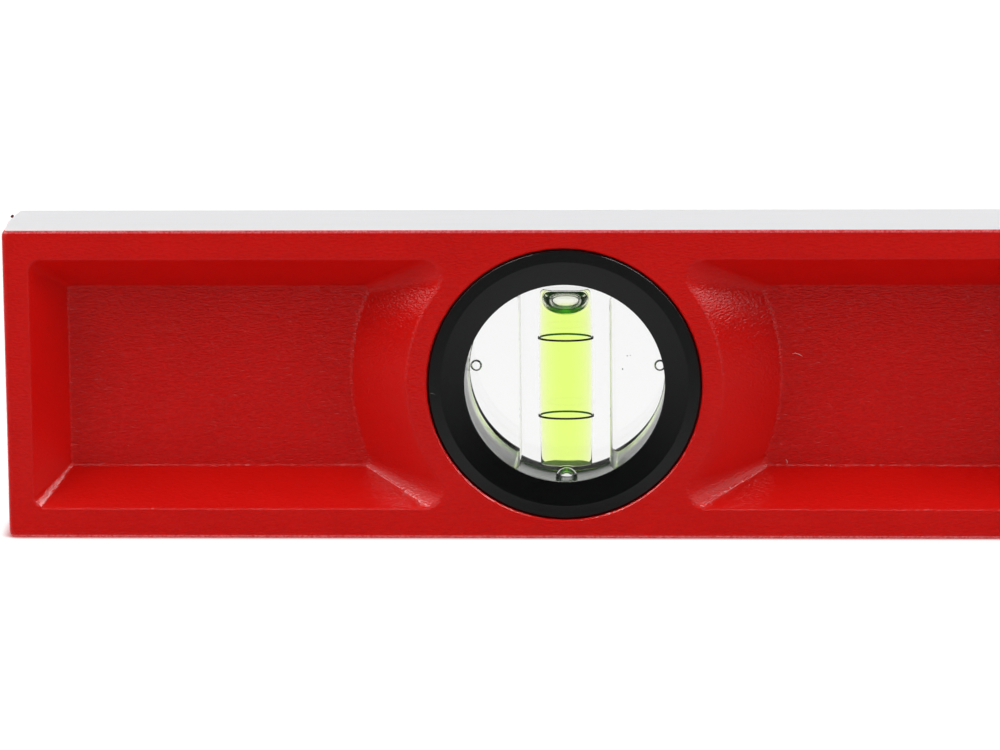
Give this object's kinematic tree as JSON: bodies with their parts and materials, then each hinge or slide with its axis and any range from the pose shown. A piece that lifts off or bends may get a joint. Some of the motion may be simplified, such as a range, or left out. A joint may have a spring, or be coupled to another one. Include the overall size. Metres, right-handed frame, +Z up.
{
  "type": "magnetic spirit level",
  "caption": "Red die-cast magnetic spirit level with milled measuring faces, side pockets, plumb vials in black round hubs and a level vial in its top edge.",
  "frame": {"origin": "middle of the bottom measuring face, half way along the beam and half way across it", "axes": "+X along the beam to its right end, +Y from the front face to the rear face, +Z up to the top measuring face"},
  "size_m": [0.4, 0.02, 0.05],
  "materials": {
    "red_powder_coat": "satin",
    "black_moulding": "satin",
    "clear_acrylic": "polished",
    "lime_liquid": "clear",
    "line_black": "matte",
    "nickel_magnet": "polished"
  },
  "bodies": {
    "root": {"cast_body": "red_powder_coat", "left_front_bezel": "black_moulding", "left_rear_bezel": "black_moulding", "left_vial_block": "clear_acrylic", "left_vial_liquid": "lime_liquid", "left_vial_plug": "clear_acrylic", "left_upper_line_ring": "line_black", "left_lower_line_ring": "line_black", "right_front_bezel": "black_moulding", "right_rear_bezel": "black_moulding", "right_vial_block": "clear_acrylic", "right_vial_liquid": "lime_liquid", "right_vial_plug": "clear_acrylic", "right_upper_line_ring": "line_black", "right_lower_line_ring": "line_black", "centre_front_bezel": "black_moulding", "centre_rear_bezel": "black_moulding", "centre_vial_block": "clear_acrylic", "centre_vial_liquid": "lime_liquid", "centre_vial_plug": "clear_acrylic", "centre_left_line_ring": "line_black", "centre_right_line_ring": "line_black", "left_outer_magnet": "nickel_magnet", "left_inner_magnet": "nickel_magnet", "right_inner_magnet": "nickel_magnet", "right_outer_magnet": "nickel_magnet"}
  },
  "joints": []
}
